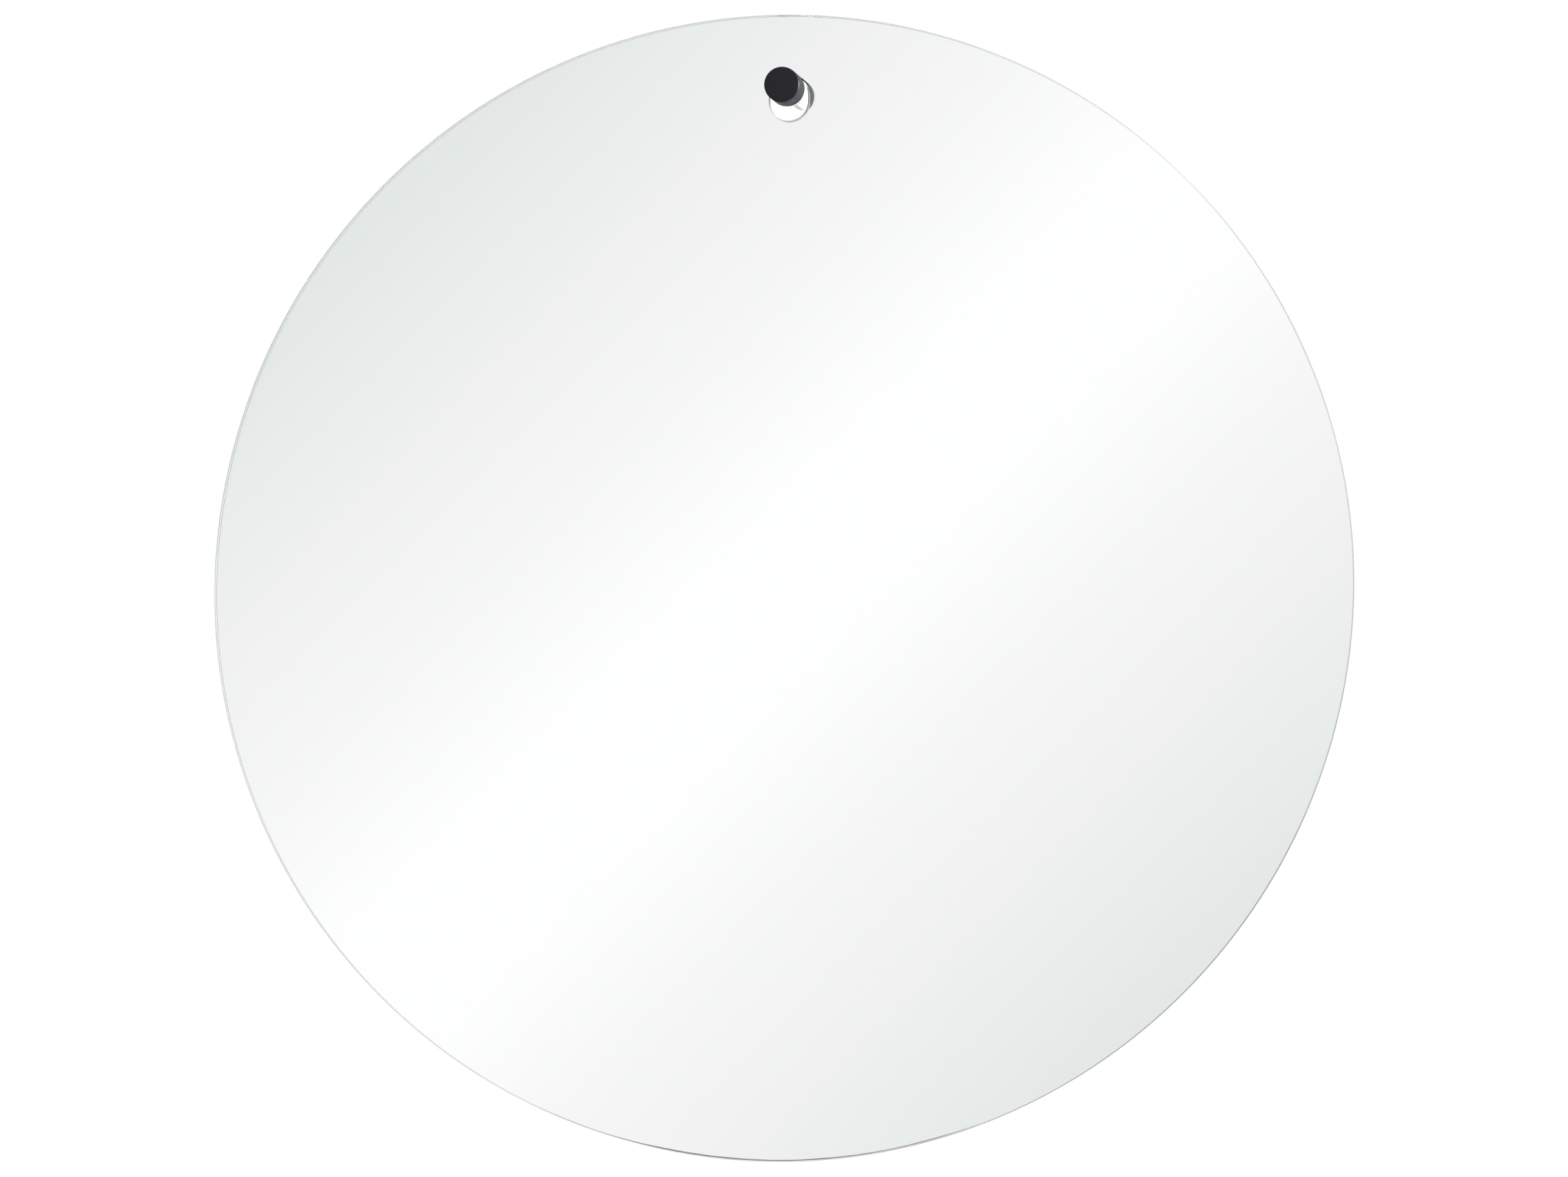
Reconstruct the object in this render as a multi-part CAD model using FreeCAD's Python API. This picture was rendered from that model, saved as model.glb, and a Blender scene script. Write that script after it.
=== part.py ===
import FreeCAD, Part
import os

# Frameless round wall mirror, hung by a slot in its glass on one turned peg.
#
# Frame, in millimetres: the origin is where the peg's axis meets the wall's surface.
# +Z is up, +Y points into the wall, and the mirror faces -Y.
# A "depth" is a distance in front of the wall's surface, so depth d is the plane y = -d,
# and a negative depth is inside the wall.

# Mirror disc
DISC_D = 500.0
GLASS_T = 5.0
ARRIS = 0.2

# Hanging slot: upright, with round ends
SLOT_W = 17.0
SLOT_H = 20.0
SLOT_ABOVE_DISC_CENTRE = 213.5

# Layers on the back of the glass
SILVER_T = 0.10
PAINT_T = 0.15
FILM_T = 0.20
COAT_INSET = 0.2
FILM_INSET = 3.0

# Wall bumpers on the back
BUMPER_D = 12.0
BUMPER_TIP_D = 9.0
BUMPER_T = 2.5
BUMPER_ROUND = 0.6
ADHESIVE_D = 11.0
ADHESIVE_T = 0.2
BUMPER_OFFSET = 150.0

# Peg
HEAD_D = 15.5
HEAD_L = 14.5
HEAD_CHAMFER = 0.5
NECK_D = 9.0
BORE_L = 17.5
DRILL_POINT_L = 1.6
BORE_MOUTH_CHAMFER = 0.4

# Soft ring on the neck, behind the head
RING_T = 2.5
RING_CHAMFER = 0.4

# Sleeve that turns on the neck, behind the ring, and carries the glass
SLEEVE_D = 12.9
SLEEVE_L = 10.4
SLEEVE_BORE_D = 9.1
SLEEVE_END_GAP = 0.3
SLEEVE_CHAMFER = 0.3
SLOT_REST_GAP = 0.05

# Washer between the peg and the wall
WASHER_D = 12.0
WASHER_BORE_D = 6.6
WASHER_T = 1.0

# Hanger bolt: machine thread into the peg, wood thread into the plug
THREAD_D = 6.0
THREAD_FIT = 0.02
MACHINE_ROOT_D = 4.9
MACHINE_PITCH = 1.0
MACHINE_TURNS = 15
MACHINE_END_CHAMFER = 0.5
SHANK_D = 5.6
SHANK_L = 4.0
WOOD_ROOT_D = 4.2
WOOD_PITCH = 2.5
WOOD_TURNS = 11
POINT_L = 4.5
THREAD_CREST_START = 0.4
THREAD_CREST_END = 0.6

# Wall plug
PLUG_D = 8.0
PLUG_L = 42.0
PLUG_LAND_L = 12.0
PLUG_BARB_ROOT_D = 7.3
PLUG_BARBS = 8
PLUG_BARB_PITCH = 3.0
PLUG_BARB_RAMP = 0.75
PLUG_SLIT_W = 0.8
PLUG_SLIT_TILT = 45.0
PLUG_NOSE_D = 5.6
PLUG_BORE_L = 39.0

# The way out of the wall
FORWARD = FreeCAD.Vector(0, -1, 0)

# How far a cutting shape runs past the solid that it cuts
CUT_PAST = 1.0

# An edge whose points' depths differ by less than this lies in one plane of constant depth
FLAT = 0.01

# Depths that follow from the sizes above
FILM_BACK = BUMPER_T + ADHESIVE_T
PAINT_BACK = FILM_BACK + FILM_T
SILVER_BACK = PAINT_BACK + PAINT_T
GLASS_BACK = SILVER_BACK + SILVER_T
SLEEVE_BACK = WASHER_T + SLEEVE_END_GAP
SLEEVE_FRONT = SLEEVE_BACK + SLEEVE_L
RING_BACK = SLEEVE_FRONT + SLEEVE_END_GAP
RING_FRONT = RING_BACK + RING_T
HEAD_FRONT = RING_FRONT + HEAD_L

# Heights that follow: the top of the slot hangs on the sleeve
SLOT_TOP_Z = SLEEVE_D / 2 + SLOT_REST_GAP
SLOT_CENTRE_Z = SLOT_TOP_Z - SLOT_H / 2
DISC_CENTRE_Z = SLOT_CENTRE_Z - SLOT_ABOVE_DISC_CENTRE


def at(x, depth, z):
    """A point given by its depth in front of the wall."""
    return FreeCAD.Vector(x, -depth, z)


def turned(profile):
    """A solid of revolution about the peg's axis, from its half outline of (depth, radius) points."""
    points = [at(radius, depth, 0) for depth, radius in profile]
    outline = Part.makePolygon(points + [points[0]])
    return Part.Face(outline).revolve(at(0, 0, 0), FORWARD, 360)


def rod(depth_back, depth_front, diameter, x=0.0, z=0.0):
    """A plain cylinder along Y between two depths."""
    length = depth_front - depth_back
    return Part.makeCylinder(diameter / 2, length, at(x, depth_back, z), FORWARD)


def slot_prism(depth_back, depth_front, margin):
    """The hanging slot's space between two depths, larger all round by the margin."""
    radius = SLOT_W / 2 + margin
    rise = (SLOT_H - SLOT_W) / 2
    top_z = SLOT_CENTRE_Z + rise
    low_z = SLOT_CENTRE_Z - rise
    top_left = at(-radius, depth_back, top_z)
    top_right = at(radius, depth_back, top_z)
    low_left = at(-radius, depth_back, low_z)
    low_right = at(radius, depth_back, low_z)
    top = Part.Arc(top_right, at(0, depth_back, top_z + radius), top_left)
    left = Part.LineSegment(top_left, low_left)
    low = Part.Arc(low_left, at(0, depth_back, low_z - radius), low_right)
    right = Part.LineSegment(low_right, top_right)
    outline = Part.Wire([side.toShape() for side in (top, left, low, right)])
    return Part.Face(outline).extrude(at(0, depth_front - depth_back, 0))


def slotted_disc(depth_back, thickness, inset):
    """One layer of the mirror, with the hanging slot, kept back from the glass's edges by the inset."""
    depth_front = depth_back + thickness
    disc = rod(depth_back, depth_front, DISC_D - 2 * inset, 0.0, DISC_CENTRE_Z)
    return disc.cut(slot_prism(depth_back - CUT_PAST, depth_front + CUT_PAST, inset))


def mirror_glass():
    """The glass sheet, with a ground arris on every edge of both faces."""
    sheet = slotted_disc(GLASS_BACK, GLASS_T, 0.0)
    rims = [edge for edge in sheet.Edges if edge.BoundBox.YLength < FLAT]
    return sheet.makeChamfer(ARRIS, rims)


def bumper(x, z):
    """A soft self-adhesive bumper: a low cone with a rounded edge and a flat tip on the wall's surface."""
    cone = Part.makeCone(BUMPER_TIP_D / 2, BUMPER_D / 2, BUMPER_T, at(x, 0, z), FORWARD)
    tip_edge = [edge for edge in cone.Edges if -FLAT < edge.BoundBox.YMin and edge.BoundBox.YMax < FLAT]
    return cone.makeFillet(BUMPER_ROUND, tip_edge)


def hanging_peg():
    """The turned peg: a head with broken edges, a neck, and a blind threaded bore from the wall side."""
    neck_r = NECK_D / 2
    head_r = HEAD_D / 2
    body = turned([
        (WASHER_T, 0),
        (WASHER_T, neck_r),
        (RING_FRONT, neck_r),
        (RING_FRONT, head_r - HEAD_CHAMFER),
        (RING_FRONT + HEAD_CHAMFER, head_r),
        (HEAD_FRONT - HEAD_CHAMFER, head_r),
        (HEAD_FRONT, head_r - HEAD_CHAMFER),
        (HEAD_FRONT, 0),
    ])
    bore_r = THREAD_D / 2 + THREAD_FIT
    bore = turned([
        (WASHER_T, 0),
        (WASHER_T, bore_r + BORE_MOUTH_CHAMFER),
        (WASHER_T + BORE_MOUTH_CHAMFER, bore_r),
        (WASHER_T + BORE_L, bore_r),
        (WASHER_T + BORE_L + DRILL_POINT_L, 0),
    ])
    return body.cut(bore)


def bush(back, front, outer_d, bore_d, chamfer):
    """A plain tube between two depths, with both outer edges broken."""
    outer = outer_d / 2
    inner = bore_d / 2
    return turned([
        (back, inner),
        (back, outer - chamfer),
        (back + chamfer, outer),
        (front - chamfer, outer),
        (front, outer - chamfer),
        (front, inner),
    ])


def head_ring():
    """The soft ring pressed on the neck against the head: its rim keeps the mirror from sliding off."""
    return bush(RING_BACK, RING_FRONT, HEAD_D, NECK_D, RING_CHAMFER)


def neck_sleeve():
    """The bush that turns on the peg's neck; the top of the slot rests on it."""
    return bush(SLEEVE_BACK, SLEEVE_FRONT, SLEEVE_D, SLEEVE_BORE_D, SLEEVE_CHAMFER)


def rear_washer():
    """The soft washer between the peg's neck and the wall."""
    return rod(0, WASHER_T, WASHER_D).cut(rod(-CUT_PAST, WASHER_T + CUT_PAST, WASHER_BORE_D))


def thread_rings(start, pitch, turns, crest, root):
    """Points of a ring-grooved stand-in for a thread, running towards smaller depths."""
    points = []
    for turn in range(turns):
        top = start - turn * pitch
        points.append((top, root))
        points.append((top - THREAD_CREST_START * pitch, crest))
        points.append((top - THREAD_CREST_END * pitch, crest))
    points.append((start - turns * pitch, root))
    return points


def hanger_bolt():
    """The headless bolt that joins the peg to the plug, turned about one axis."""
    crest = THREAD_D / 2
    machine_root = MACHINE_ROOT_D / 2
    wood_root = WOOD_ROOT_D / 2
    machine_start = WASHER_T + MACHINE_TURNS * MACHINE_PITCH
    wood_start = -SHANK_L
    wood_end = wood_start - WOOD_TURNS * WOOD_PITCH
    machine = thread_rings(machine_start, MACHINE_PITCH, MACHINE_TURNS, crest, machine_root)
    wood = thread_rings(wood_start, WOOD_PITCH, WOOD_TURNS, crest, wood_root)
    shank = [(WASHER_T, SHANK_D / 2), (wood_start, SHANK_D / 2)]
    tip = machine_start + MACHINE_END_CHAMFER
    front = [(tip, 0), (tip, machine_root - MACHINE_END_CHAMFER)]
    point = [(wood_end - POINT_L, 0)]
    return turned(front + machine + shank + wood + point)


def wall_plug():
    """The expansion plug: a plain land at its mouth, then barbs, split by one slit, and a blunt nose."""
    outer = PLUG_D / 2
    root = PLUG_BARB_ROOT_D / 2
    outline = [(0, 0), (0, outer), (-PLUG_LAND_L, outer)]
    for barb in range(PLUG_BARBS):
        start = -PLUG_LAND_L - barb * PLUG_BARB_PITCH
        outline.append((start, root))
        outline.append((start - PLUG_BARB_RAMP * PLUG_BARB_PITCH, outer))
        outline.append((start - PLUG_BARB_PITCH, outer))
    barbs_end = -PLUG_LAND_L - PLUG_BARBS * PLUG_BARB_PITCH
    outline.append((barbs_end, root))
    outline.append((-PLUG_L, PLUG_NOSE_D / 2))
    outline.append((-PLUG_L, 0))
    body = turned(outline)
    bore = rod(-PLUG_BORE_L, CUT_PAST, THREAD_D + 2 * THREAD_FIT)
    slit_l = -barbs_end - PLUG_LAND_L
    reach = outer + CUT_PAST
    slit = Part.makeBox(2 * reach, slit_l, PLUG_SLIT_W, at(-reach, -PLUG_LAND_L, -PLUG_SLIT_W / 2))
    slit.rotate(at(0, 0, 0), FORWARD, PLUG_SLIT_TILT)
    return body.cut(bore).cut(slit)


def export(name, shape):
    """Write one sub-part after testing that it is one sound closed solid."""
    if not shape.isValid() or len(shape.Solids) != 1:
        raise RuntimeError(f"{name} is not one valid solid")
    solid = shape.Solids[0]
    solid.exportStep(os.path.join("parts", f"{name}.step"))
    print(f"{name:28s} {solid.Volume / 1000:9.3f} cm3")


def build():
    """Make and write every sub-part."""
    os.makedirs("parts", exist_ok=True)
    export("wall_plug", wall_plug())
    export("hanger_bolt", hanger_bolt())
    export("rear_washer", rear_washer())
    export("hanging_peg", hanging_peg())
    export("head_ring", head_ring())
    export("neck_sleeve", neck_sleeve())
    export("mirror_glass", mirror_glass())
    export("silver_layer", slotted_disc(SILVER_BACK, SILVER_T, COAT_INSET))
    export("backing_paint", slotted_disc(PAINT_BACK, PAINT_T, COAT_INSET))
    export("safety_film", slotted_disc(FILM_BACK, FILM_T, FILM_INSET))
    for row, z_sign in (("upper", 1), ("lower", -1)):
        for side, x_sign in (("left", -1), ("right", 1)):
            x = x_sign * BUMPER_OFFSET
            z = DISC_CENTRE_Z + z_sign * BUMPER_OFFSET
            export(f"bumper_{row}_{side}", bumper(x, z))
            export(f"bumper_adhesive_{row}_{side}", rod(BUMPER_T, FILM_BACK, ADHESIVE_D, x, z))


build()
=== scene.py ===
import math

import bmesh
import bpy
from mathutils import Matrix, Vector


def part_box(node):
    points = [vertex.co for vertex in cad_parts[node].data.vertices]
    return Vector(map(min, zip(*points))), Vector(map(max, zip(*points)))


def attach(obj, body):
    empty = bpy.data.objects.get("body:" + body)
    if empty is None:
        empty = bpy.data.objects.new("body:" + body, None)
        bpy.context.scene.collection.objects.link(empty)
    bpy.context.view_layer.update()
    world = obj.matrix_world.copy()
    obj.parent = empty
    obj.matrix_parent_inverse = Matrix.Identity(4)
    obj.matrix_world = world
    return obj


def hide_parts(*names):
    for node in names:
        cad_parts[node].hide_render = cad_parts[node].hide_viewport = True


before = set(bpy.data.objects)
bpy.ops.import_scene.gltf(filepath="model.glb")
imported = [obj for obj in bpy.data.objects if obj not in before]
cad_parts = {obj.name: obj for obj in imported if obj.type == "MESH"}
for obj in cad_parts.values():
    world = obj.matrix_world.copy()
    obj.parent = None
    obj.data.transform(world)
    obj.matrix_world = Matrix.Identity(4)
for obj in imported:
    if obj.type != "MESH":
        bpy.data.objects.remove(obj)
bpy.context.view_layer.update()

MM = 0.001

# ---------------------------------------------------------------------------
# Sizes and places, in metres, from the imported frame
# ---------------------------------------------------------------------------
GLASS_LOW, GLASS_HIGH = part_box("mirror_glass")
SILVER_LOW, SILVER_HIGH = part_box("silver_layer")
PAINT_LOW, PAINT_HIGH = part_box("backing_paint")
FILM_LOW, FILM_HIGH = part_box("safety_film")
PEG_LOW, PEG_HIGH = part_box("hanging_peg")
RING_LOW, RING_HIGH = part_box("head_ring")
SLEEVE_LOW, SLEEVE_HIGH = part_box("neck_sleeve")
WASHER_LOW, WASHER_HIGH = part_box("rear_washer")
BOLT_LOW, BOLT_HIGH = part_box("hanger_bolt")
PLUG_LOW, PLUG_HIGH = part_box("wall_plug")

DISC_R = (GLASS_HIGH.x - GLASS_LOW.x) / 2
DISC_Z = (GLASS_HIGH.z + GLASS_LOW.z) / 2
DISC_CENTRE = Vector((0.0, GLASS_LOW.y, DISC_Z))

# Hanging slot: upright, with round ends; its top hangs on the sleeve
SLOT_W = 17 * MM
SLOT_H = 20 * MM
SLOT_REST_GAP = 0.05 * MM
SLOT_Z = SLEEVE_HIGH.z + SLOT_REST_GAP - SLOT_H / 2

# The glass's ground edges
ARRIS = 0.2 * MM
EDGE_ROUGHNESS = 0.15

# How far each layer is kept back from the glass's rim and from the slot's edge.
# The paint is rolled on over the silver's edge to seal it, so it reaches a little further.
SILVER_RIM_INSET = 0.45 * MM
SILVER_SLOT_INSET = 0.27 * MM
PAINT_RIM_INSET = 0.36 * MM
PAINT_SLOT_INSET = 0.20 * MM
FILM_INSET = 3 * MM

# A hair of space between two layers, so that their faces do not lie in one plane
LAYER_GAP = 0.008 * MM

# Peg: neck, threaded bore and the slanted edges of its head
NECK_R = 4.5 * MM
BORE_R = 3.02 * MM
BORE_L = 17.5 * MM
BORE_MOUTH = 0.4 * MM
DRILL_POINT_L = 1.6 * MM
HEAD_FRONT_SLANT = 0.42 * MM
HEAD_BACK_SLANT = 0.35 * MM
SLEEVE_CLEARANCE = 0.05 * MM
WASHER_BORE_R = 3.3 * MM

# Hanger bolt
MACHINE_ROOT_R = 2.45 * MM
MACHINE_PITCH = 1.0 * MM
SHANK_R = 2.8 * MM
SHANK_END = 4.0 * MM
WOOD_ROOT_R = 2.1 * MM
WOOD_PITCH = 2.5 * MM
POINT_L = 4.5 * MM

# Wall plug
PLUG_LAND_L = 12 * MM
PLUG_BARBS = 8
PLUG_BARB_PITCH = 3 * MM
PLUG_BARB_RAMP = 0.75
PLUG_BARB_ROOT_R = 3.65 * MM
PLUG_NOSE_R = 2.8 * MM
PLUG_BORE_L = 39 * MM
PLUG_SLIT_W = 0.8 * MM
PLUG_SLIT_TILT = math.radians(45)

# Bumpers: share of the base's radius that the tip has, and the moulding lip round the base
BUMPER_TIP_SHARE = 0.75
BUMPER_LIP_H = 0.35 * MM
BUMPER_LIP_W = 0.25 * MM

# Places of the four wall bumpers
CORNERS = ("upper_left", "upper_right", "lower_left", "lower_right")


# ---------------------------------------------------------------------------
# Mesh helpers
# ---------------------------------------------------------------------------
def finished(name, bm, material, body, replaces, smooth_angle=32):
    """Turn a bmesh into a piece that rides on a body and stands for a CAD node."""
    bmesh.ops.remove_doubles(bm, verts=bm.verts, dist=1e-7)
    bmesh.ops.recalc_face_normals(bm, faces=bm.faces)
    mesh = bpy.data.meshes.new(name)
    bm.to_mesh(mesh)
    bm.free()
    mesh.shade_smooth()
    mesh.set_sharp_from_angle(angle=math.radians(smooth_angle))
    mesh.materials.append(material)
    piece = bpy.data.objects.new(name, mesh)
    bpy.context.scene.collection.objects.link(piece)
    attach(piece, body)
    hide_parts(replaces)
    return piece


def rounded(points, steps=5):
    """A closed outline of (y, r) points with its corners rounded. A corner is (y, r, radius)."""
    outline = []
    count = len(points)
    for i, (y, r, radius) in enumerate(points):
        here = Vector((y, r))
        if radius == 0:
            outline.append(here)
            continue
        before = (Vector(points[i - 1][:2]) - here).normalized()
        after = (Vector(points[(i + 1) % count][:2]) - here).normalized()
        half = before.angle(after) / 2
        reach = radius / math.tan(half)
        centre = here + (before + after).normalized() * (radius / math.sin(half))
        start = here + before * reach - centre
        turn = (here + after * reach - centre).angle_signed(start)
        for k in range(steps + 1):
            outline.append(centre + Matrix.Rotation(turn * k / steps, 2) @ start)
    return outline


def lathe(outline, segments=160, x=0.0, z=0.0):
    """A solid turned about the Y axis through (x, z) from a closed outline of (y, r) points."""
    bm = bmesh.new()
    rings = []
    for y, r in outline:
        if r < 1e-9:
            rings.append([bm.verts.new((x, y, z))])
            continue
        ring = []
        for k in range(segments):
            angle = 2 * math.pi * k / segments
            ring.append(bm.verts.new((x + r * math.sin(angle), y, z + r * math.cos(angle))))
        rings.append(ring)
    for ring, following in zip(rings, rings[1:] + rings[:1]):
        join_rings(bm, ring, following)
    return bm


def join_rings(bm, ring, following):
    """Faces between two rings, where either may be a single point on the axis."""
    count = max(len(ring), len(following))
    if count == 1:
        return
    for k in range(count):
        n = (k + 1) % count
        if len(ring) == 1:
            bm.faces.new((ring[0], following[n], following[k]))
        elif len(following) == 1:
            bm.faces.new((ring[k], ring[n], following[0]))
        else:
            bm.faces.new((ring[k], ring[n], following[n], following[k]))


def circle_points(radius, segments=720):
    """The mirror's outline in the XZ plane."""
    steps = [2 * math.pi * k / segments for k in range(segments)]
    return [(radius * math.sin(a), DISC_Z + radius * math.cos(a)) for a in steps]


def slot_points(grow, segments=72):
    """The slot's outline in the XZ plane, larger all round by grow."""
    radius = SLOT_W / 2 + grow
    rise = (SLOT_H - SLOT_W) / 2
    points = []
    for end in (1, -1):
        for k in range(segments + 1):
            angle = math.pi * k / segments
            x = end * radius * math.cos(angle)
            z = SLOT_Z + end * (rise + radius * math.sin(angle))
            points.append((x, z))
    return points


def slotted_sheet(y_front, y_back, rim_inset, slot_inset, arris=0.0):
    """A round sheet with the hanging slot, kept back from the glass's rim and slot by the insets.

    With an arris, the edges of both faces are broken at 45 degrees.
    """
    levels = [(y_front, arris), (y_front + arris, 0.0), (y_back - arris, 0.0), (y_back, arris)]
    if arris == 0:
        levels = [(y_front, 0.0), (y_back, 0.0)]
    bm = bmesh.new()
    outer = []
    inner = []
    for y, step in levels:
        rim = circle_points(DISC_R - rim_inset - step)
        hole = slot_points(slot_inset + step)
        outer.append([bm.verts.new((x, y, z)) for x, z in rim])
        inner.append([bm.verts.new((x, y, z)) for x, z in hole])
    for loops in (outer, inner):
        for loop, following in zip(loops, loops[1:]):
            join_rings(bm, loop, following)
    for end in (0, -1):
        zip_up(bm, outer[end], inner[end])
    return bm


def zip_up(bm, rim, hole):
    """Flat faces between the disc's rim and the slot's edge, taken in turn about the slot's centre."""
    def turn(vert):
        return math.atan2(vert.co.x, vert.co.z - SLOT_Z) % (2 * math.pi)

    rim = sorted(rim, key=turn)
    hole = sorted(hole, key=turn)
    rim_turns = [turn(vert) for vert in rim[1:]] + [2 * math.pi]
    hole_turns = [turn(vert) for vert in hole[1:]] + [2 * math.pi]
    rim.append(rim[0])
    hole.append(hole[0])
    i = 0
    k = 0
    while i < len(rim_turns) or k < len(hole_turns):
        if k == len(hole_turns) or (i < len(rim_turns) and rim_turns[i] <= hole_turns[k]):
            bm.faces.new((rim[i], rim[i + 1], hole[k]))
            i += 1
        else:
            bm.faces.new((rim[i], hole[k + 1], hole[k]))
            k += 1


# ---------------------------------------------------------------------------
# Material helpers
# ---------------------------------------------------------------------------
class Nodes:
    """A short way to write a procedural material's node tree."""

    def __init__(self, name):
        self.material = bpy.data.materials.new(name)
        self.material.use_nodes = True
        self.tree = self.material.node_tree
        self.tree.nodes.clear()
        self.output = self.tree.nodes.new("ShaderNodeOutputMaterial")
        self.shader = self.tree.nodes.new("ShaderNodeBsdfPrincipled")
        self.link(self.shader.outputs["BSDF"], self.output.inputs["Surface"])
        coordinates = self.tree.nodes.new("ShaderNodeTexCoord").outputs
        self.place = coordinates["Object"]
        self.normal = coordinates["Normal"]

    def link(self, source, target):
        self.tree.links.new(source, target)

    def feed(self, socket, value):
        """Put a number, a colour or another node's output into a socket."""
        if isinstance(value, bpy.types.NodeSocket):
            self.link(value, socket)
        else:
            socket.default_value = value

    def set(self, **values):
        """Uniform values on the shader's own sockets, such as roughness=0.4."""
        for key, value in values.items():
            socket = self.shader.inputs[key.replace("_", " ")]
            socket.default_value = value

    def math(self, operation, first, second=0.0, third=0.0):
        node = self.tree.nodes.new("ShaderNodeMath")
        node.operation = operation
        for socket, value in zip(node.inputs, (first, second, third)):
            self.feed(socket, value)
        return node.outputs["Value"]

    def noise(self, scale, detail=3.0, roughness=0.5, vector=None):
        """Noise whose features are about 1/scale metres across."""
        node = self.tree.nodes.new("ShaderNodeTexNoise")
        node.inputs["Scale"].default_value = scale
        node.inputs["Detail"].default_value = detail
        node.inputs["Roughness"].default_value = roughness
        self.link(vector or self.place, node.inputs["Vector"])
        return node.outputs["Fac"]

    def xyz(self):
        node = self.tree.nodes.new("ShaderNodeSeparateXYZ")
        self.link(self.place, node.inputs["Vector"])
        return node.outputs

    def vector(self, x, y, z):
        node = self.tree.nodes.new("ShaderNodeCombineXYZ")
        for socket, value in zip(node.inputs, (x, y, z)):
            self.feed(socket, value)
        return node.outputs["Vector"]

    def span(self, value, low, high, to_low, to_high):
        """The value's range from low to high, stretched to another range and kept inside it."""
        node = self.tree.nodes.new("ShaderNodeMapRange")
        for socket, number in zip(node.inputs, (value, low, high, to_low, to_high)):
            self.feed(socket, number)
        return node.outputs["Result"]

    def blend(self, factor, first, second):
        """A colour between two colours."""
        node = self.tree.nodes.new("ShaderNodeMix")
        node.data_type = "RGBA"
        self.feed(node.inputs["Factor"], factor)
        self.feed(node.inputs["A"], rgba(first))
        self.feed(node.inputs["B"], rgba(second))
        return node.outputs["Result"]

    def bump(self, height, distance, strength=1.0):
        node = self.tree.nodes.new("ShaderNodeBump")
        node.inputs["Strength"].default_value = strength
        node.inputs["Distance"].default_value = distance
        self.link(height, node.inputs["Height"])
        self.link(node.outputs["Normal"], self.shader.inputs["Normal"])

    def length(self, x, z):
        """The distance from the origin in a plane, from the two coordinates in it."""
        squares = self.math("ADD", self.math("POWER", x, 2.0), self.math("POWER", z, 2.0))
        return self.math("SQRT", squares)

    def turned_place(self, scale):
        """A place that is the same all round the Y axis, so that noise on it looks like tool marks."""
        part = self.xyz()
        along = self.math("MULTIPLY", part["Y"], scale)
        radius = self.math("MULTIPLY", self.length(part["X"], part["Z"]), scale)
        return self.vector(along, radius, 0.0)


def rgba(value):
    """A colour with its alpha, or a node's output as it is."""
    if isinstance(value, bpy.types.NodeSocket):
        return value
    return (*value, 1.0) if len(value) == 3 else value


# ---------------------------------------------------------------------------
# Materials
# ---------------------------------------------------------------------------
WHITE = (1.0, 1.0, 1.0, 1.0)

# Glass: its tint is only seen where light has run far inside the sheet
GLASS_IOR = 1.52
GLASS_TINT = (0.50, 0.56, 0.54, 1.0)
GLASS_TINT_DENSITY = 1.3

# A face whose normal has more of Y than the second value is polished, one with less than
# the first is ground
GROUND_BELOW = 0.90
POLISHED_ABOVE = 0.98

# Damp marks on the silver: the heights, as shares of the disc's radius below its centre, where
# they start and where they are full, how far in they reach there, and how softly they end
DAMP_START = 0.90
DAMP_FULL = 0.985
DAMP_REACH = 0.6 * MM
DAMP_FADE = 0.15 * MM

# Distance between two strands of the safety film, and how sharply each stands out
STRAND_PITCH = 1.6 * MM
STRAND_POWER = 14.0
STRAND_SHARE = 0.55


def glass_material():
    """Clear float glass: faintly green in depth, with polished faces and satin ground edges."""
    n = Nodes("float_glass")
    n.set(Base_Color=WHITE, IOR=GLASS_IOR, Transmission_Weight=1.0)
    facing = n.tree.nodes.new("ShaderNodeSeparateXYZ")
    n.link(n.normal, facing.inputs["Vector"])
    flat = n.math("ABSOLUTE", facing.outputs["Y"])
    satin = n.span(flat, GROUND_BELOW, POLISHED_ABOVE, EDGE_ROUGHNESS, 0.0)
    n.feed(n.shader.inputs["Roughness"], satin)
    absorb = n.tree.nodes.new("ShaderNodeVolumeAbsorption")
    absorb.inputs["Color"].default_value = GLASS_TINT
    absorb.inputs["Density"].default_value = GLASS_TINT_DENSITY
    n.link(absorb.outputs["Volume"], n.output.inputs["Volume"])
    return n.material


def silver_material():
    """The silver: a bright mirror, with brown marks along its edge at the bottom, where damp gathers."""
    n = Nodes("silver_coat")
    part = n.xyz()
    height = n.math("SUBTRACT", part["Z"], DISC_Z)
    damp = n.span(height, -DAMP_START * DISC_R, -DAMP_FULL * DISC_R, 0.0, DAMP_REACH)
    wander = n.math("MULTIPLY", n.span(n.noise(35.0, 4.0), 0.3, 0.7, 0.5, 1.3), damp)
    reach = n.math("ADD", n.length(part["X"], height), wander)
    silver_r = DISC_R - SILVER_RIM_INSET
    mark = n.span(reach, silver_r, silver_r + DAMP_FADE, 0.0, 1.0)
    bright = (0.955, 0.965, 0.96)
    brown = (0.30, 0.26, 0.20)
    n.feed(n.shader.inputs["Base Color"], n.blend(mark, bright, brown))
    n.feed(n.shader.inputs["Roughness"], n.span(mark, 0.0, 1.0, 0.0, 0.25))
    n.set(Metallic=1.0)
    return n.material


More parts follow.
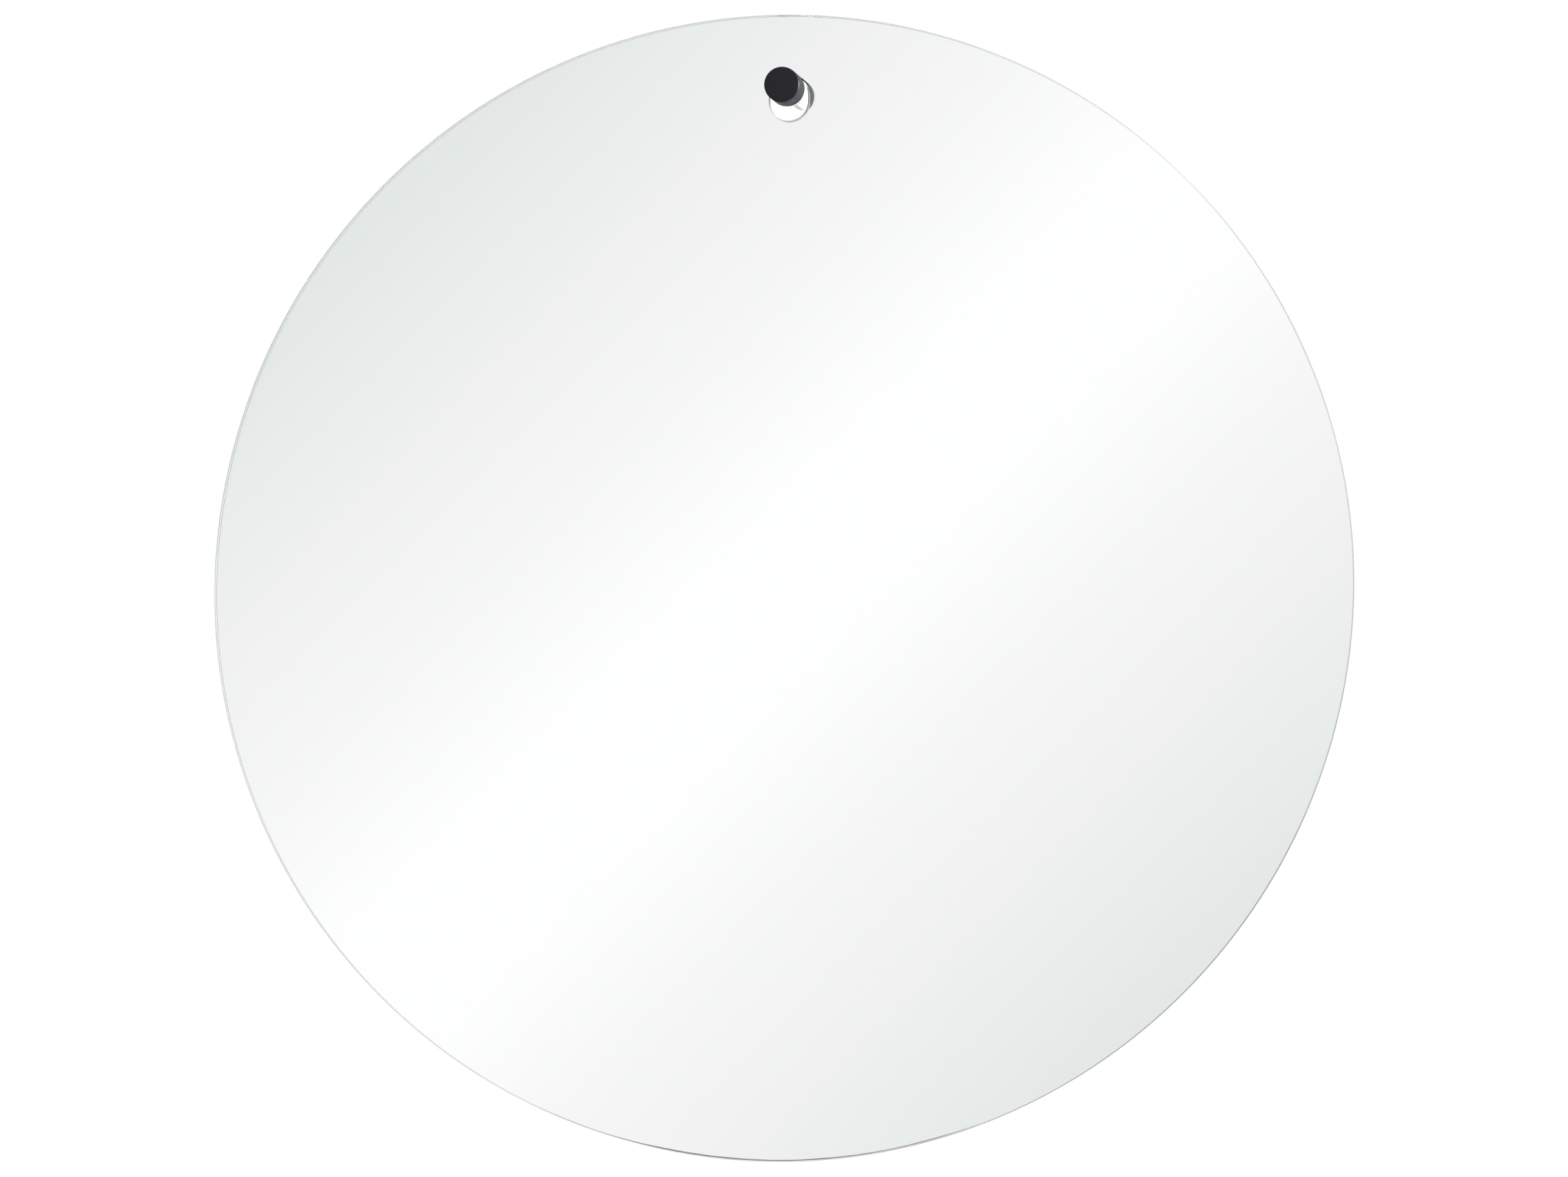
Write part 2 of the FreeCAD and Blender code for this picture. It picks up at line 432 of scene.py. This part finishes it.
def paint_material():
    """Mirror backing paint: grey, rolled on, with a fine orange peel."""
    n = Nodes("mirror_backing_paint")
    tone = n.noise(60.0, 5.0)
    n.feed(n.shader.inputs["Base Color"], n.blend(tone, (0.105, 0.115, 0.125), (0.15, 0.16, 0.17)))
    n.feed(n.shader.inputs["Roughness"], n.span(n.noise(400.0), 0.3, 0.7, 0.42, 0.6))
    n.bump(n.noise(1400.0, 2.0), 0.03 * MM)
    return n.material


def film_material():
    """Safety film: pale vinyl over crossed glass strands, with shallow ripples from rolling it on."""
    n = Nodes("safety_film_vinyl")
    part = n.xyz()
    waves = []
    for axis in ("X", "Z"):
        wave = n.math("SINE", n.math("MULTIPLY", part[axis], math.pi / STRAND_PITCH))
        waves.append(n.math("POWER", n.math("ABSOLUTE", wave), STRAND_POWER))
    strands = n.math("MAXIMUM", *waves)
    ground = n.blend(n.noise(9.0, 4.0), (0.38, 0.42, 0.46), (0.46, 0.50, 0.53))
    share = n.math("MULTIPLY", strands, STRAND_SHARE)
    n.feed(n.shader.inputs["Base Color"], n.blend(share, ground, (0.64, 0.66, 0.68)))
    n.feed(n.shader.inputs["Roughness"], n.span(n.noise(120.0), 0.3, 0.7, 0.34, 0.5))
    ripple = n.math("MULTIPLY", n.noise(22.0, 2.0), 3.0)
    n.bump(n.math("ADD", strands, ripple), 0.06 * MM)
    return n.material


def anodised_material():
    """Black anodised aluminium: dark and satin, with fine rings from the lathe, painted shade in the
    rings' grooves and a painted sheen on their crests.
    """
    n = Nodes("black_anodised_aluminium")
    rings = n.noise(1.0, 4.0, 0.7, n.turned_place(3500.0))
    speckle = n.noise(6000.0, 2.0)
    # Painted shade and painted sheen: the colour is darker where the rings' bump is low and lighter
    # where it is high.
    groove_painted_shade = (0.0054, 0.0049, 0.0080)
    crest = (0.0092, 0.0085, 0.0128)
    n.feed(n.shader.inputs["Base Color"], n.blend(rings, groove_painted_shade, crest))
    n.feed(n.shader.inputs["Roughness"], n.span(rings, 0.35, 0.65, 0.36, 0.52))
    n.set(Specular_IOR_Level=0.16)
    n.bump(n.math("ADD", rings, n.math("MULTIPLY", speckle, 0.3)), 0.006 * MM)
    return n.material


def nylon_material(name, low, high):
    """Moulded nylon: slightly translucent, with a soft moulded grain."""
    n = Nodes(name)
    n.feed(n.shader.inputs["Base Color"], n.blend(n.noise(300.0, 4.0), low, high))
    n.feed(n.shader.inputs["Roughness"], n.span(n.noise(1500.0), 0.3, 0.7, 0.38, 0.52))
    depth = (0.9 * MM, 0.8 * MM, 0.7 * MM)
    n.set(Subsurface_Weight=0.25, Subsurface_Radius=depth, Subsurface_Scale=1.0)
    n.bump(n.noise(2500.0, 2.0), 0.01 * MM)
    return n.material


def rubber_material(name, low, high, roughness, translucent, shine=0.5):
    """Rubber or soft polyurethane with a fine grain."""
    n = Nodes(name)
    n.feed(n.shader.inputs["Base Color"], n.blend(n.noise(500.0, 4.0), low, high))
    grain = n.span(n.noise(2600.0), 0.3, 0.7, roughness - 0.06, roughness + 0.08)
    n.feed(n.shader.inputs["Roughness"], grain)
    depth = (1.6 * MM, 1.6 * MM, 1.5 * MM)
    n.set(Subsurface_Weight=translucent, Subsurface_Radius=depth, Subsurface_Scale=1.0)
    n.set(Specular_IOR_Level=shine)
    n.bump(n.noise(3500.0, 2.0), 0.012 * MM)
    return n.material


def zinc_material():
    """Bright zinc plating with a faint yellow and blue cast and a fine grain."""
    n = Nodes("zinc_plated_steel")
    bluish = (0.56, 0.58, 0.62)
    yellowish = (0.66, 0.65, 0.60)
    n.feed(n.shader.inputs["Base Color"], n.blend(n.noise(700.0, 4.0), bluish, yellowish))
    n.feed(n.shader.inputs["Roughness"], n.span(n.noise(2500.0), 0.3, 0.7, 0.22, 0.38))
    n.set(Metallic=1.0)
    n.bump(n.noise(4000.0, 2.0), 0.006 * MM)
    return n.material


def adhesive_material():
    """Acrylic adhesive: milky, a little glossy, with trapped specks of air."""
    n = Nodes("adhesive_acrylic")
    air = n.span(n.noise(1800.0, 2.0), 0.55, 0.7, 0.0, 1.0)
    n.feed(n.shader.inputs["Base Color"], n.blend(air, (0.62, 0.63, 0.60), (0.80, 0.81, 0.80)))
    n.set(Roughness=0.3, Subsurface_Weight=0.3, Subsurface_Radius=(MM, MM, MM), Subsurface_Scale=1.0)
    n.bump(air, 0.02 * MM)
    return n.material


# ---------------------------------------------------------------------------
# Pieces
# ---------------------------------------------------------------------------
def mirror_pieces():
    """The glass and the three layers behind it."""
    glass = slotted_sheet(GLASS_LOW.y, GLASS_HIGH.y - LAYER_GAP, 0.0, 0.0, ARRIS)
    finished("float_glass_sheet", glass, glass_material(), "mirror", "mirror_glass")
    silver_back = SILVER_HIGH.y - LAYER_GAP
    silver = slotted_sheet(SILVER_LOW.y, silver_back, SILVER_RIM_INSET, SILVER_SLOT_INSET)
    finished("silver_coat_sheet", silver, silver_material(), "mirror", "silver_layer")
    paint_back = PAINT_HIGH.y - LAYER_GAP
    paint = slotted_sheet(PAINT_LOW.y, paint_back, PAINT_RIM_INSET, PAINT_SLOT_INSET)
    finished("backing_paint_sheet", paint, paint_material(), "mirror", "backing_paint")
    film = slotted_sheet(FILM_LOW.y, FILM_HIGH.y, FILM_INSET, FILM_INSET)
    finished("safety_film_sheet", film, film_material(), "mirror", "safety_film")


def bumper_dome(corner, material):
    """One soft bumper: a rounded tip on the wall's side and a thin moulding lip round its base."""
    low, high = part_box("bumper_" + corner)
    x = (low.x + high.x) / 2
    z = (low.z + high.z) / 2
    base_r = (high.x - low.x) / 2
    lip_top = low.y + BUMPER_LIP_H
    outline = rounded([
        (low.y, 0, 0),
        (low.y, base_r, 0.12 * MM),
        (lip_top, base_r, 0.12 * MM),
        (lip_top, base_r - BUMPER_LIP_W, 0.1 * MM),
        (high.y, base_r * BUMPER_TIP_SHARE, 0.9 * MM),
        (high.y, 0, 0),
    ])
    dome = lathe(outline, 96, x, z)
    finished(f"bumper_dome_{corner}", dome, material, "mirror", f"bumper_{corner}")


def bumper_glue(corner, material):
    """The adhesive disc under one bumper."""
    node = "bumper_adhesive_" + corner
    low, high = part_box(node)
    x = (low.x + high.x) / 2
    z = (low.z + high.z) / 2
    radius = (high.x - low.x) / 2
    edge = 0.06 * MM
    outline = rounded([
        (low.y, 0, 0),
        (low.y, radius, edge),
        (high.y, radius, edge),
        (high.y, 0, 0),
    ], 3)
    finished(f"bumper_glue_{corner}", lathe(outline, 96, x, z), material, "mirror", node)


def bumper_pieces():
    """Four soft bumpers, each on its adhesive disc."""
    soft = rubber_material("clear_polyurethane", (0.58, 0.60, 0.60), (0.68, 0.70, 0.70), 0.34, 0.5)
    glue = adhesive_material()
    for corner in CORNERS:
        bumper_dome(corner, soft)
        bumper_glue(corner, glue)


def peg_piece():
    """The turned peg: a head with slanted edges, a neck, and a blind bore with a drill point."""
    head_r = (PEG_HIGH.x - PEG_LOW.x) / 2
    head_back = RING_LOW.y
    front = PEG_LOW.y
    back = PEG_HIGH.y
    bore_end = back - BORE_L
    outline = rounded([
        (front, 0, 0),
        (front, head_r - HEAD_FRONT_SLANT, 0.12 * MM),
        (front + HEAD_FRONT_SLANT, head_r, 0.12 * MM),
        (head_back - HEAD_BACK_SLANT, head_r, 0.12 * MM),
        (head_back, head_r - HEAD_BACK_SLANT, 0.12 * MM),
        (head_back, NECK_R, 0.1 * MM),
        (back, NECK_R, 0.2 * MM),
        (back, BORE_R + BORE_MOUTH, 0),
        (back - BORE_MOUTH, BORE_R, 0),
        (bore_end, BORE_R, 0),
        (bore_end - DRILL_POINT_L, 0, 0),
    ])
    peg = lathe(outline, 224)
    finished("turned_peg", peg, anodised_material(), "peg", "hanging_peg")


def ring_piece():
    """The soft ring pressed on the neck against the head. Its colour is black rubber darkened with
    painted shade of the gap behind the head.
    """
    outer = (RING_HIGH.x - RING_LOW.x) / 2
    outline = rounded([
        (RING_LOW.y, NECK_R, 0),
        (RING_LOW.y, outer, 0.3 * MM),
        (RING_HIGH.y, outer, 0.4 * MM),
        (RING_HIGH.y, NECK_R, 0.2 * MM),
    ])
    # Painted shade: these blacks are far darker than rubber, to stand in for the shade in the gap behind
    # the head.
    dark = (0.004, 0.004, 0.005)
    light = (0.008, 0.008, 0.009)
    rubber = rubber_material("ring_rubber", dark, light, 0.85, 0.0, 0.12)
    finished("soft_ring", lathe(outline, 192), rubber, "peg", "head_ring")


def sleeve_piece():
    """The nylon bush on the neck."""
    outer = (SLEEVE_HIGH.x - SLEEVE_LOW.x) / 2
    inner = NECK_R + SLEEVE_CLEARANCE
    outline = rounded([
        (SLEEVE_LOW.y, inner, 0.2 * MM),
        (SLEEVE_LOW.y, outer, 0.35 * MM),
        (SLEEVE_HIGH.y, outer, 0.35 * MM),
        (SLEEVE_HIGH.y, inner, 0.2 * MM),
    ])
    nylon = nylon_material("bush_nylon", (0.92, 0.92, 0.92), (0.96, 0.96, 0.96))
    finished("neck_bush", lathe(outline, 160), nylon, "sleeve", "neck_sleeve")


def washer_piece():
    """The rubber washer on the wall."""
    outer = (WASHER_HIGH.x - WASHER_LOW.x) / 2
    outline = rounded([
        (WASHER_LOW.y, WASHER_BORE_R, 0.15 * MM),
        (WASHER_LOW.y, outer, 0.25 * MM),
        (WASHER_HIGH.y, outer, 0.25 * MM),
        (WASHER_HIGH.y, WASHER_BORE_R, 0.15 * MM),
    ])
    rubber = rubber_material("black_rubber", (0.018, 0.018, 0.020), (0.030, 0.030, 0.032), 0.7, 0.0)
    finished("rubber_washer", lathe(outline, 128), rubber, "peg", "rear_washer")


def smooth(value):
    """0 below 0, 1 above 1, and an even curve between."""
    t = min(max(value, 0.0), 1.0)
    return t * t * (3 - 2 * t)


def machine_radius(y, turn, crest, shank_start):
    """The machine thread's radius at a place along the bolt and a share of a turn round it."""
    phase = (y / MACHINE_PITCH + turn) % 1.0
    tooth = min(max((1 - abs(2 * phase - 1) - 0.1) / 0.8, 0.0), 1.0)
    fade_in = smooth((y - BOLT_LOW.y) / MACHINE_PITCH)
    fade_out = smooth((shank_start - y) / (0.6 * MACHINE_PITCH))
    return MACHINE_ROOT_R + (crest - MACHINE_ROOT_R) * tooth * (fade_in * fade_out)


def wood_radius(y, turn, crest):
    """The wood thread's radius, sharp-crested, coming off the shank and tapering to the point."""
    phase = (y / WOOD_PITCH + turn) % 1.0
    tooth = (1 - abs(2 * phase - 1)) ** 3
    point_start = BOLT_HIGH.y - POINT_L
    taper = 1 - smooth((y - point_start) / (BOLT_HIGH.y - point_start)) * 0.9
    fade = smooth((y - SHANK_END) / WOOD_PITCH)
    return (WOOD_ROOT_R + (crest - WOOD_ROOT_R) * tooth * fade) * taper


def bolt_piece():
    """The hanger bolt with true helical threads: M6 at the front, a coarse wood thread at the back."""
    crest = (BOLT_HIGH.x - BOLT_LOW.x) / 2
    shank_start = PEG_HIGH.y
    length = BOLT_HIGH.y - BOLT_LOW.y
    segments = 72
    count = int(length / (0.1 * MM))
    bm = bmesh.new()
    rings = []
    for i in range(count + 1):
        y = BOLT_LOW.y + length * i / count
        ring = []
        for k in range(segments):
            turn = k / segments
            if y < shank_start:
                r = machine_radius(y, turn, crest, shank_start)
            elif y < SHANK_END:
                r = SHANK_R
            else:
                r = wood_radius(y, turn, crest)
            angle = 2 * math.pi * turn
            ring.append(bm.verts.new((r * math.sin(angle), y, r * math.cos(angle))))
        rings.append(ring)
    for ring, following in zip(rings, rings[1:]):
        join_rings(bm, ring, following)
    bm.faces.new(rings[0])
    bm.faces.new(rings[-1])
    finished("hanger_bolt_threaded", bm, zinc_material(), "peg", "hanger_bolt", 40)


def plug_outline(outer):
    """The plug's outline: land, barbs, nose and bore."""
    crease = 0.05 * MM
    soft = 0.12 * MM
    points = [(0, BORE_R, 0.1 * MM), (0, outer, 0.2 * MM), (PLUG_LAND_L, outer, 0.1 * MM)]
    for barb in range(PLUG_BARBS):
        start = PLUG_LAND_L + barb * PLUG_BARB_PITCH
        points.append((start + crease, PLUG_BARB_ROOT_R, crease))
        points.append((start + PLUG_BARB_RAMP * PLUG_BARB_PITCH, outer, soft))
        points.append((start + PLUG_BARB_PITCH, outer, soft))
    barbs_end = PLUG_LAND_L + PLUG_BARBS * PLUG_BARB_PITCH
    points.append((barbs_end + crease, PLUG_BARB_ROOT_R, crease))
    points.append((PLUG_HIGH.y, PLUG_NOSE_R, 0.5 * MM))
    points.append((PLUG_HIGH.y, 0, 0))
    points.append((PLUG_BORE_L, 0, 0))
    points.append((PLUG_BORE_L, BORE_R, 0))
    return rounded(points, 3)


def plug_piece():
    """The expansion plug: a plain land, then barbs, split by one slit."""
    outer = (PLUG_HIGH.x - PLUG_LOW.x) / 2
    nylon = nylon_material("plug_nylon", (0.84, 0.84, 0.83), (0.90, 0.90, 0.89))
    bm = lathe(plug_outline(outer), 96)
    piece = finished("expansion_plug", bm, nylon, "peg", "wall_plug")
    slit_l = PLUG_BARBS * PLUG_BARB_PITCH
    slit = cutter_box((3 * outer, slit_l, PLUG_SLIT_W), PLUG_LAND_L + slit_l / 2, PLUG_SLIT_TILT)
    cut = piece.modifiers.new("slit", "BOOLEAN")
    cut.operation = "DIFFERENCE"
    cut.solver = "EXACT"
    cut.object = slit
    bpy.context.view_layer.update()
    shape = piece.evaluated_get(bpy.context.evaluated_depsgraph_get())
    mesh = bpy.data.meshes.new_from_object(shape)
    piece.modifiers.clear()
    piece.data = mesh
    bpy.data.objects.remove(slit)


def cutter_box(size, y, tilt):
    """A box centred on the Y axis at y and tilted about it, for cutting a slit."""
    bm = bmesh.new()
    bmesh.ops.create_cube(bm, size=1.0)
    bmesh.ops.scale(bm, vec=size, verts=bm.verts)
    bmesh.ops.translate(bm, vec=(0, y, 0), verts=bm.verts)
    bmesh.ops.rotate(bm, cent=(0, 0, 0), matrix=Matrix.Rotation(-tilt, 3, "Y"), verts=bm.verts)
    mesh = bpy.data.meshes.new("slit_cutter")
    bm.to_mesh(mesh)
    bm.free()
    cutter = bpy.data.objects.new("slit_cutter", mesh)
    bpy.context.scene.collection.objects.link(cutter)
    return cutter


# ---------------------------------------------------------------------------
# Camera
# ---------------------------------------------------------------------------
CAMERA_AZIMUTH = math.radians(8.06)
CAMERA_ELEVATION = math.radians(-4.41)
CAMERA_ROLL = math.radians(0.91)
CAMERA_DISTANCE = 6.0
CAMERA_LENS = 316.9
AIM = DISC_CENTRE + Vector((1.6 * MM, 0.0, -1.0 * MM))


def camera_axes():
    """The camera's right, up and backward directions."""
    level = math.cos(CAMERA_ELEVATION)
    back = Vector((
        math.sin(CAMERA_AZIMUTH) * level,
        -math.cos(CAMERA_AZIMUTH) * level,
        math.sin(CAMERA_ELEVATION),
    ))
    right = Vector((0, 0, 1)).cross(back).normalized()
    up = back.cross(right)
    turned_right = right * math.cos(CAMERA_ROLL) + up * math.sin(CAMERA_ROLL)
    return turned_right, back.cross(turned_right), back


def add_camera():
    """The camera: a long lens, aimed near the disc's centre."""
    right, up, back = camera_axes()
    data = bpy.data.cameras.new("camera")
    data.lens = CAMERA_LENS
    data.sensor_width = 36.0
    data.clip_start = 0.1
    data.clip_end = 400.0
    camera = bpy.data.objects.new("camera", data)
    camera.matrix_world = Matrix((right, up, back)).transposed().to_4x4()
    camera.location = AIM + back * CAMERA_DISTANCE
    bpy.context.scene.collection.objects.link(camera)
    bpy.context.scene.camera = camera


# ---------------------------------------------------------------------------
# Studio
# ---------------------------------------------------------------------------
CARD_Y = -14.0
CARD_HALF = 90.0
FLOOR_Z = -4.5
FLOOR_HALF = 120.0
CARD_GAIN = 1.045
WORLD_LIGHT = 1.0

# The snoot's opening, its cone and how softly the cone ends
SNOOT_R = 0.04
SNOOT_CONE = math.radians(3.6)
SNOOT_SOFTNESS = 0.5

# Light that enters a glass edge is reflected many times between the faces before it leaves
GLASS_BOUNCES = 48

# The card's white band runs down to the left: the way across it, how far its middle is from
# the card's own origin that way, and how far from its middle it has faded
BAND_TILT = math.radians(-44.59)
BAND_CENTRE = -2.017
BAND_HALF = 0.816

# Brightness of the card from the middle of its white band out to where the band has faded:
# share of the way out, then display values of red, green and blue
CARD_STOPS = (
    (0.00, (255, 255, 255)),
    (0.14, (254, 254, 254)),
    (0.40, (246, 246, 246)),
    (0.68, (240, 240, 240)),
    (0.76, (236, 238, 238)),
    (1.00, (228, 232, 231)),
)


def display_to_light(value):
    """A display value from 0 to 255 as linear light."""
    share = value / 255
    return share / 12.92 if share <= 0.04045 else ((share + 0.055) / 1.055) ** 2.4


def plane(name, corners, material):
    """A flat four-cornered piece of the studio."""
    mesh = bpy.data.meshes.new(name)
    mesh.from_pydata(corners, [], [(0, 1, 2, 3)])
    mesh.materials.append(material)
    thing = bpy.data.objects.new(name, mesh)
    bpy.context.scene.collection.objects.link(thing)
    return thing


def card_material():
    """A studio card that glows white along one slanting band and greyer to both sides of it."""
    n = Nodes("studio_card")
    part = n.xyz()
    x = n.math("MULTIPLY", part["X"], math.cos(BAND_TILT))
    z = n.math("MULTIPLY", part["Z"], math.sin(BAND_TILT))
    off_centre = n.math("ABSOLUTE", n.math("SUBTRACT", n.math("ADD", x, z), BAND_CENTRE))
    share = n.math("DIVIDE", off_centre, BAND_HALF)
    ramp = n.tree.nodes.new("ShaderNodeValToRGB")
    stops = ramp.color_ramp.elements
    stops[0].position, stops[1].position = CARD_STOPS[0][0], CARD_STOPS[-1][0]
    for place, _ in CARD_STOPS[1:-1]:
        stops.new(place)
    for stop, (place, shade) in zip(stops, CARD_STOPS):
        stop.color = (*[display_to_light(v) for v in shade], 1.0)
    n.link(share, ramp.inputs["Fac"])
    glow = n.tree.nodes.new("ShaderNodeEmission")
    glow.inputs["Strength"].default_value = CARD_GAIN
    n.link(ramp.outputs["Color"], glow.inputs["Color"])
    n.link(glow.outputs["Emission"], n.output.inputs["Surface"])
    return n.material


def floor_material():
    """A plain pale floor."""
    n = Nodes("pale_floor")
    tone = n.noise(0.6, 3.0)
    n.feed(n.shader.inputs["Base Color"], n.blend(tone, (0.76, 0.76, 0.76), (0.80, 0.80, 0.80)))
    n.set(Roughness=0.9)
    return n.material


def hang_light(name, data, place, target):
    """Put a light in the studio, turned to its target."""
    light = bpy.data.objects.new(name, data)
    light.location = place
    light.rotation_mode = "QUATERNION"
    light.rotation_quaternion = (Vector(place) - Vector(target)).to_track_quat("Z", "Y")
    bpy.context.scene.collection.objects.link(light)
    return light


def add_softbox(name, place, size, power):
    """A square soft light on the mirror, with its size in metres and its power in watts."""
    data = bpy.data.lights.new(name, "AREA")
    data.shape = "SQUARE"
    data.size = size
    data.energy = power
    light = hang_light(name, data, place, (0, 0, DISC_Z))
    light.visible_glossy = False
    light.visible_transmission = False


def add_snoot(name, place, target, power):
    """A spotlight narrowed by a snoot, so that it lights the peg and leaves the mirror's rim dark."""
    data = bpy.data.lights.new(name, "SPOT")
    data.shadow_soft_size = SNOOT_R
    data.spot_size = SNOOT_CONE
    data.spot_blend = SNOOT_SOFTNESS
    data.energy = power
    light = hang_light(name, data, place, target)
    light.visible_transmission = False


def add_world():
    """Even white studio light."""
    world = bpy.data.worlds.new("studio")
    world.use_nodes = True
    light = world.node_tree.nodes["Background"]
    light.inputs["Color"].default_value = WHITE
    light.inputs["Strength"].default_value = WORLD_LIGHT
    bpy.context.scene.world = world


def add_studio():
    """The floor, the reflection card, the lights and the world."""
    bpy.context.scene.view_settings.view_transform = "Standard"
    paths = bpy.context.scene.cycles
    paths.max_bounces = GLASS_BOUNCES
    paths.glossy_bounces = GLASS_BOUNCES
    paths.transmission_bounces = GLASS_BOUNCES
    add_world()
    far = FLOOR_HALF
    corners = [(-far, -far, FLOOR_Z), (far, -far, FLOOR_Z), (far, far, FLOOR_Z), (-far, far, FLOOR_Z)]
    plane("floor", corners, floor_material())
    half = CARD_HALF
    corners = [
        (-half, CARD_Y, FLOOR_Z),
        (half, CARD_Y, FLOOR_Z),
        (half, CARD_Y, half),
        (-half, CARD_Y, half),
    ]
    card = plane("reflection_card", corners, card_material())
    card.visible_camera = False
    card.visible_diffuse = False
    card.visible_shadow = False
    add_snoot("right_light", (3.0, -0.45, 0.25), (0, PEG_LOW.y, 0), 1300)
    add_softbox("key_light", (-2.6, -3.0, 2.4), 1.8, 30)
    add_softbox("back_light", (1.8, 3.4, 2.2), 2.2, 20)


# ---------------------------------------------------------------------------
# The object
# ---------------------------------------------------------------------------
mirror_pieces()
bumper_pieces()
peg_piece()
ring_piece()
sleeve_piece()
washer_piece()
bolt_piece()
plug_piece()

add_camera()
add_studio()
